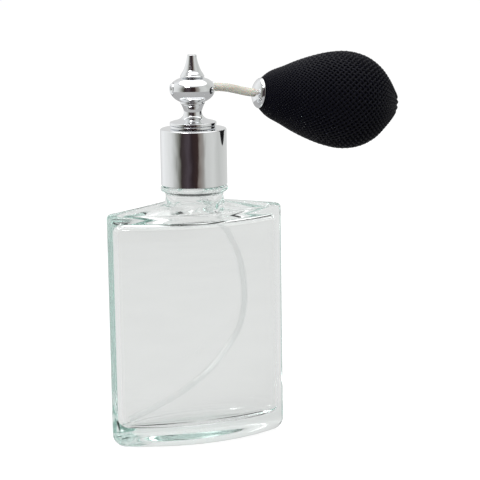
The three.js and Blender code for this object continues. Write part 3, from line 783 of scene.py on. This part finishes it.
class BulbShape:
    """The net's outer outline as functions of the distance along it."""

    def __init__(self):
        points = smooth(NET_SHAPE, 24) + NET_DIMPLE
        self.points = np.array(points)
        steps = np.linalg.norm(np.diff(self.points, axis=0), axis=1)
        self.lengths = np.concatenate([[0.0], np.cumsum(steps)])
        self.total = float(self.lengths[-1])

    def at(self, length):
        """(radius, distance along the axis) at a length along the outline."""
        radius = np.interp(length, self.lengths, self.points[:, 0])
        along = np.interp(length, self.lengths, self.points[:, 1])
        return float(radius), float(along)

    def normal(self, length):
        """The outward normal's (radial, axial) parts."""
        near = np.array(self.at(max(0.0, length - 0.4)))
        far = np.array(self.at(min(self.total, length + 0.4)))
        radial, axial = far - near
        size = math.hypot(radial, axial)
        return float(axial / size), float(-radial / size)


STRANDS = 50
STRAND_LEAN = 1.0
YARN_SHARE = 0.46
YARN_SIDES = 5
STEPS_PER_CROSSING = 2

# The tie draws the net's far end into folds.
GATHERS = 13
GATHER_DEPTH = 0.5
GATHER_START = 43.0


def gather(along, angle):
    """How far the net dips into a fold here."""
    share = min(1.0, max(0.0, (along - GATHER_START) / (VALVE_OUT - GATHER_START)))
    return GATHER_DEPTH * share * (1 - math.cos(GATHERS * angle)) / 2


def strand_path(shape, first_angle, hand):
    """One strand: its centre line, and its thickness, from the cup to the tie."""
    points = []
    length = 0.0
    angle = first_angle
    step = 0
    while length < shape.total:
        radius, along = shape.at(length)
        half_pitch = math.pi * radius / STRANDS
        radial, axial = shape.normal(length)
        thickness = min(0.42, YARN_SHARE * half_pitch + 0.06)
        lift = 0.55 * thickness * math.cos(math.pi * step / STEPS_PER_CROSSING) * hand
        depth = lift - thickness * 1.05 - gather(along, angle)
        r = radius + radial * depth
        points.append((
            (along + axial * depth, r * math.cos(angle), r * math.sin(angle)), thickness))
        advance = half_pitch / STRAND_LEAN / STEPS_PER_CROSSING
        length += max(advance, 0.12)
        angle += hand * math.pi / STRANDS / STEPS_PER_CROSSING
        step += 1
    return points


def add_strand(path, upper, lower):
    """Puts a strand's stretches into the half of the net where they lie."""
    route = [point for point, _ in path]
    frames = route_frames(route)
    runs = []
    for i in range(len(path) - 1):
        above = route[i][2] + route[i + 1][2] > 0
        if runs and runs[-1][0] == above:
            runs[-1][2] = i + 1
        else:
            runs.append([above, i, i + 1])
    for above, start, end in runs:
        corners, faces, uvs = upper if above else lower
        first = len(corners)
        for i in range(start, end + 1):
            u, v = frames[i]
            for side in range(YARN_SIDES):
                angle = 2 * math.pi * side / YARN_SIDES
                offset = (u * math.cos(angle) + v * math.sin(angle)) * path[i][1]
                corners.append(Vector(route[i]) + offset)
                uvs.append((i * 0.8, side / YARN_SIDES * 4))
        rings = end - start + 1
        faces.extend(skin_faces(rings, YARN_SIDES, first))
        faces.append(tuple(range(first + YARN_SIDES - 1, first - 1, -1)))
        last = first + (rings - 1) * YARN_SIDES
        faces.append(tuple(range(last, last + YARN_SIDES)))


def half_shell(name, outline, material, upper):
    """Half of a turned wall, above or below the bulb's middle plane, with flat ends."""
    sides = 64
    count = len(outline)
    start = 0 if upper else math.pi
    corners = []
    for side in range(sides + 1):
        angle = start + math.pi * side / sides
        for radius, along in outline:
            corners.append((along, radius * math.cos(angle), radius * math.sin(angle)))
    faces = []
    for side in range(sides):
        for i in range(count):
            after = (i + 1) % count
            near, far = side * count, (side + 1) * count
            faces.append((near + i, far + i, far + after, near + after))
    faces.append(tuple(range(count)))
    faces.append(tuple(reversed(range(sides * count, sides * count + count))))
    return make_mesh(name, corners, faces, material, BULB_FRAME)


def press(piece):
    """Bakes the placing of one half of the bulb into its corners."""
    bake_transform(piece)


def rubber_outline():
    """The rubber wall's section, just under the net."""
    outer, inner = [], []
    for radius, along in smooth(NET_SHAPE, 4):
        shrink = (along / BULB_LENGTH) ** 4
        outer.append((radius - RUBBER_UNDER_NET, along + 0.3 - shrink))
        inner_radius = radius - RUBBER_UNDER_NET - RUBBER_WALL
        in_hollow = RUBBER_HOLLOW_START < along < RUBBER_HOLLOW_END
        if inner_radius > PLUG_RADIUS + 1 and in_hollow:
            inner.append((inner_radius, along - shrink))
    bore = VALVE_RADIUS + 0.3
    mouth = PLUG_RADIUS + 0.8
    return [
        (mouth, 0.8),
        *outer,
        (bore, RUBBER_TAIL_HIGH),
        (bore, RUBBER_TAIL_LOW),
        *reversed(inner),
        (mouth, RUBBER_HOLLOW_START),
    ]


def make_bulb():
    """The net and the rubber under it, each in two halves."""
    shape = BulbShape()
    halves = {True: ([], [], []), False: ([], [], [])}
    for hand in (1, -1):
        for i in range(STRANDS):
            path = strand_path(shape, 2 * math.pi * i / STRANDS, hand)
            add_strand(path, halves[True], halves[False])
    names = {True: ("upper", "thumb_wall", "bulb_thumb_wall", 1),
             False: ("lower", "finger_wall", "bulb_finger_wall", -1)}
    for upper, (corners, faces, uvs) in halves.items():
        word, wall, node, up = names[upper]
        net = make_mesh(f"net_{word}", corners, faces, YARN, BULB_FRAME, 80, uvs)
        press(net)
        rubber = half_shell(f"rubber_{word}", rubber_outline(), RUBBER, upper)
        press(rubber)
        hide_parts("net_cover")
        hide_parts("rubber_bulb", node)


def make_tail():
    """The drawn thread and the valve in the dimple at the bulb's far end."""
    section = arc(2.75, VALVE_OUT + 0.25, 0.32, 0, 330, 11)
    put(turned_x("tie_thread", section, YARN, BULB_FRAME, 64), "bulb", "black_yarn", "net_tie")
    low, high = VALVE_OUT - 0.75, VALVE_OUT
    outline = [
        (0.8, low),
        (VALVE_RADIUS, low),
        *arc(VALVE_RADIUS - 0.25, high - 0.25, 0.25, 0, 90, 4),
        (1.0, high),
        (0.8, high - 0.2),
    ]
    put(turned_x("valve_button", outline, DARK_PLASTIC, BULB_FRAME, 48),
        "bulb", "dark_plastic", "valve_seat")


# ------------------------------------------------------- pieces kept from CAD

def finish_cad_nodes():
    """Hidden working pieces keep their CAD solids and get their real materials."""
    finishes = {
        "neck_gasket": DARK_PLASTIC,
        "stem": NATURAL_PLASTIC,
        "swivel_seal": RUBBER,
        "collar_nut": DARK_PLASTIC,
        "jet_tube": STEEL,
        "liquid_riser": NATURAL_PLASTIC,
        "cup_spigot": CHROME,
        "bulb_plug": DARK_PLASTIC,
        "valve_body": DARK_PLASTIC,
        "valve_ball": STEEL,
    }
    for node, material in finishes.items():
        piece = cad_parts[node]
        piece.data.materials.clear()
        piece.data.materials.append(material)


# -------------------------------------------------------------------- stage

CAMERA_AZIMUTH = math.radians(-20.06)
CAMERA_ELEVATION = math.radians(10.83)
CAMERA_ROLL = math.radians(-0.86)
CAMERA_DISTANCE = 0.6967
CAMERA_LENS = 143.8
SENSOR = 36.0
AIM_ACROSS = 0.01621
AIM_HEIGHT = 0.07398
FLOOR_REACH = 3000
FLOOR_LEVEL = -0.3
FLOOR_SEEN = 0.91
FLOOR_THROUGH_GLASS = 0.60
FLOOR_BOUNCED = 0.25
WORLD_SEEN = 1.0
WORLD_THROUGH_GLASS = 0.86
WORLD_BOUNCED = 0.55


def make_camera():
    """The camera, turned and rolled about its aim."""
    sin_a, cos_a = math.sin(CAMERA_AZIMUTH), math.cos(CAMERA_AZIMUTH)
    sin_e, cos_e = math.sin(CAMERA_ELEVATION), math.cos(CAMERA_ELEVATION)
    back = Vector((sin_a * cos_e, -cos_a * cos_e, sin_e))
    level = Vector((cos_a, sin_a, 0))
    upright = back.cross(level)
    right = level * math.cos(CAMERA_ROLL) + upright * math.sin(CAMERA_ROLL)
    up = upright * math.cos(CAMERA_ROLL) - level * math.sin(CAMERA_ROLL)
    aim = level * AIM_ACROSS + Vector((0, 0, AIM_HEIGHT))
    data = bpy.data.cameras.new("camera")
    data.lens = CAMERA_LENS
    data.sensor_width = SENSOR
    camera = bpy.data.objects.new("camera", data)
    turn = Matrix((right, up, back)).transposed().to_4x4()
    camera.matrix_world = Matrix.Translation(aim + back * CAMERA_DISTANCE) @ turn
    bpy.context.scene.collection.objects.link(camera)
    bpy.context.scene.camera = camera


def by_ray(tree, bounced, through_glass, seen):
    """One strength for reflections and bounced light, one through glass and one for the eye."""
    path = tree.nodes.new("ShaderNodeLightPath")
    dimmed = add_range(tree, path.outputs["Is Transmission Ray"], bounced, through_glass)
    choose = tree.nodes.new("ShaderNodeMapRange")
    tree.links.new(path.outputs["Is Camera Ray"], choose.inputs["Value"])
    tree.links.new(dimmed, choose.inputs["To Min"])
    choose.inputs["To Max"].default_value = seen
    return choose.outputs["Result"]


def make_floor():
    """Paper lit from below as well as above, so that only a faint shadow shows."""
    material, tree, shader = new_material("pale_floor")
    speckle = add_noise(tree, 40, 2)
    tree.links.new(add_ramp(tree, speckle, (0.17, 0.17, 0.17), (0.19, 0.19, 0.19)),
                   shader.inputs["Base Color"])
    shader.inputs["Roughness"].default_value = 0.9
    shader.inputs["Specular IOR Level"].default_value = 0.0
    shader.inputs["Emission Color"].default_value = (1, 1, 1, 1)
    tree.links.new(by_ray(tree, FLOOR_BOUNCED, FLOOR_THROUGH_GLASS, FLOOR_SEEN),
                   shader.inputs["Emission Strength"])
    reach, z = FLOOR_REACH, FLOOR_LEVEL
    corners = [(-reach, -reach, z), (reach, -reach, z), (reach, reach, z), (-reach, reach, z)]
    make_mesh("floor", corners, [(0, 1, 2, 3)], material)


WALL_RADIUS = 450
WALL_HIGH = 560
WALL_NOISE_SCALE = 26
WALL_NOISE = 0.03

# Azimuths run from -Y (0 degrees) towards +X. Each stop: azimuth and linear colour.
WALL_STOPS = [
    (-180, (0.72, 0.72, 0.72)),
    (-150, (0.95, 0.96, 0.96)),
    (-118, (0.84, 0.85, 0.84)),
    (-100, (0.74, 0.75, 0.74)),
    (-84, (0.50, 0.51, 0.49)),
    (-74, (0.26, 0.26, 0.24)),
    (-66, (0.15, 0.15, 0.13)),
    (-60, (0.040, 0.030, 0.030)),
    (-38, (0.075, 0.060, 0.070)),
    (-24, (0.030, 0.020, 0.022)),
    (-6, (0.042, 0.026, 0.024)),
    (1, (0.24, 0.21, 0.19)),
    (16, (0.36, 0.35, 0.33)),
    (24, (0.62, 0.63, 0.61)),
    (50, (0.70, 0.71, 0.69)),
    (74, (0.58, 0.59, 0.57)),
    (112, (0.68, 0.69, 0.67)),
    (180, (0.72, 0.72, 0.72)),
]
ROOM_EDGE_LOW = 9.0
ROOM_EDGE_HIGH = 14.0
ROOM_FOOT = (0.20, 0.17, 0.15)


def wall_material():
    """Glow that changes round the wall: a bright side, a dark room and a grey side."""
    material = bpy.data.materials.new("studio_wall")
    material.use_nodes = True
    tree = material.node_tree
    tree.nodes.clear()
    uv = tree.nodes.new("ShaderNodeUVMap")
    uv.uv_map = UV_LAYER
    split = tree.nodes.new("ShaderNodeSeparateXYZ")
    tree.links.new(uv.outputs["UV"], split.inputs["Vector"])
    noise = tree.nodes.new("ShaderNodeTexNoise")
    noise.inputs["Scale"].default_value = WALL_NOISE_SCALE
    noise.inputs["Detail"].default_value = 4
    tree.links.new(uv.outputs["UV"], noise.inputs["Vector"])
    around = tree.nodes.new("ShaderNodeMath")
    tree.links.new(split.outputs["X"], around.inputs[0])
    tree.links.new(add_range(tree, noise.outputs["Fac"], -WALL_NOISE, WALL_NOISE), around.inputs[1])
    height = tree.nodes.new("ShaderNodeMath")
    tree.links.new(split.outputs["Y"], height.inputs[0])
    tree.links.new(add_range(tree, noise.outputs["Fac"], -WALL_NOISE, WALL_NOISE), height.inputs[1])
    ramp = tree.nodes.new("ShaderNodeValToRGB")
    elements = ramp.color_ramp.elements
    for azimuth, _ in WALL_STOPS[1:-1]:
        elements.new((azimuth + 180) / 360)
    for element, (_, color) in zip(elements, WALL_STOPS):
        element.color = (*color, 1)
    tree.links.new(around.outputs[0], ramp.inputs["Fac"])
    foot = add_ramp(tree, height.outputs[0], ROOM_FOOT, (0, 0, 0),
                    ROOM_EDGE_LOW / WALL_HIGH, ROOM_EDGE_HIGH / WALL_HIGH)
    lighter = tree.nodes.new("ShaderNodeMixRGB")
    lighter.blend_type = "LIGHTEN"
    lighter.inputs["Fac"].default_value = 1.0
    tree.links.new(ramp.outputs["Color"], lighter.inputs["Color1"])
    tree.links.new(foot, lighter.inputs["Color2"])
    glow = tree.nodes.new("ShaderNodeEmission")
    output = tree.nodes.new("ShaderNodeOutputMaterial")
    tree.links.new(lighter.outputs["Color"], glow.inputs["Color"])
    tree.links.new(glow.outputs["Emission"], output.inputs["Surface"])
    return material


def make_wall():
    """A round studio wall that only shows in reflections."""
    steps = 180
    corners, uvs = [], []
    for i in range(steps + 1):
        azimuth = math.radians(-180 + 360 * i / steps)
        x, y = WALL_RADIUS * math.sin(azimuth), -WALL_RADIUS * math.cos(azimuth)
        corners += [(x, y, 0), (x, y, WALL_HIGH)]
        uvs += [(i / steps, 0), (i / steps, 1)]
    faces = [(2 * i, 2 * i + 2, 2 * i + 3, 2 * i + 1) for i in range(steps)]
    wall = make_mesh("studio_wall", corners, faces, wall_material(), uvs=uvs)
    wall.visible_camera = False
    wall.visible_diffuse = False
    wall.visible_transmission = False
    wall.visible_shadow = False


def make_world():
    """White for the eye and through the glass, softer grey where it lights and reflects."""
    world = bpy.data.worlds.new("studio")
    world.use_nodes = True
    tree = world.node_tree
    background = tree.nodes["Background"]
    background.inputs["Color"].default_value = (1, 1, 1, 1)
    tree.links.new(by_ray(tree, WORLD_BOUNCED, WORLD_THROUGH_GLASS, WORLD_SEEN),
                   background.inputs["Strength"])
    bpy.context.scene.world = world
    bpy.context.scene.view_settings.view_transform = "Standard"


def allow_deep_paths():
    """Light crosses the glass many times before it leaves, so short paths would go black."""
    cycles = bpy.context.scene.cycles
    cycles.max_bounces = 96
    cycles.glossy_bounces = 64
    cycles.transmission_bounces = 64


def add_light(name, place, aim, size, power):
    """A round soft light that faces its aim."""
    data = bpy.data.lights.new(name, "AREA")
    data.shape = "DISK"
    data.size = size
    data.energy = power
    light = bpy.data.objects.new(name, data)
    light.location = place
    light.rotation_mode = "QUATERNION"
    light.rotation_quaternion = (Vector(aim) - Vector(place)).to_track_quat("-Z", "Y")
    bpy.context.scene.collection.objects.link(light)


def make_lights():
    """One key light and one wide light overhead."""
    aim = (0.015, 0, 0.09)
    add_light("key_light", (-0.75, -0.55, 0.85), aim, 0.60, 8.0)
    add_light("top_light", (0.10, 0.10, 1.10), aim, 1.80, 8.0)


make_camera()
make_world()
make_lights()
make_floor()
make_wall()
allow_deep_paths()
make_bottle()
make_collar()
make_seat_ring()
make_dip_tube()
make_head()
make_finial()
make_nozzle()
make_air_spigot()
make_air_tube()
make_cup()
make_bulb()
make_tail()
finish_cad_nodes()
